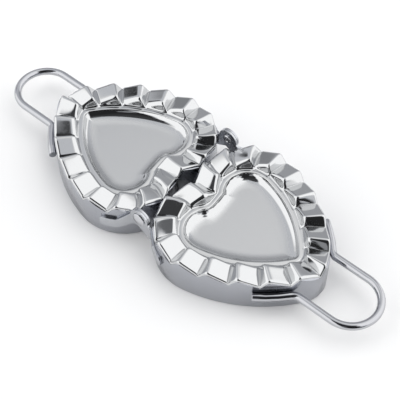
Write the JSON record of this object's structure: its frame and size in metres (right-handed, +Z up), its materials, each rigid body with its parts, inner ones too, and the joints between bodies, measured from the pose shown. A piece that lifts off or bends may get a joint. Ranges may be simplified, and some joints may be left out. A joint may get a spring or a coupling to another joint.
{
  "type": "empanada press",
  "caption": "Heart-shaped empanada press: two pleated trays on cutter skirts, joined by a riveted hinge, each with a wire loop handle.",
  "frame": {"origin": "centre of the opened press, on the table that it rests on", "axes": "+X from the hinge towards the right handle, +Y along the hinge axis, +Z up out of the trays"},
  "size_m": [0.2104, 0.0754, 0.023],
  "materials": {
    "polished_pressing": "mirror-polished stainless steel pleats, satin tray floor",
    "satin_band": "satin stainless steel strip",
    "polished_wire": "polished stainless steel wire",
    "hinge_strip": "bright-rolled stainless steel strip",
    "rivet_steel": "bright stainless steel rivet"
  },
  "bodies": {
    "left_half": {"left_pleated_tray": "polished_pressing", "left_cutter_skirt": "satin_band", "left_wire_handle": "polished_wire", "left_near_ear": "hinge_strip", "left_far_ear": "hinge_strip", "near_rivet": "rivet_steel", "far_rivet": "rivet_steel"},
    "right_half": {"right_pleated_tray": "polished_pressing", "right_cutter_skirt": "satin_band", "right_wire_handle": "polished_wire", "right_near_ear": "hinge_strip", "right_far_ear": "hinge_strip"}
  },
  "joints": [
    {"name": "fold", "type": "hinge", "parent": "left_half", "child": "right_half", "pos_m": [0, 0, 0.018], "axis": [0, -1, 0], "range_deg": [0, 180]}
  ]
}
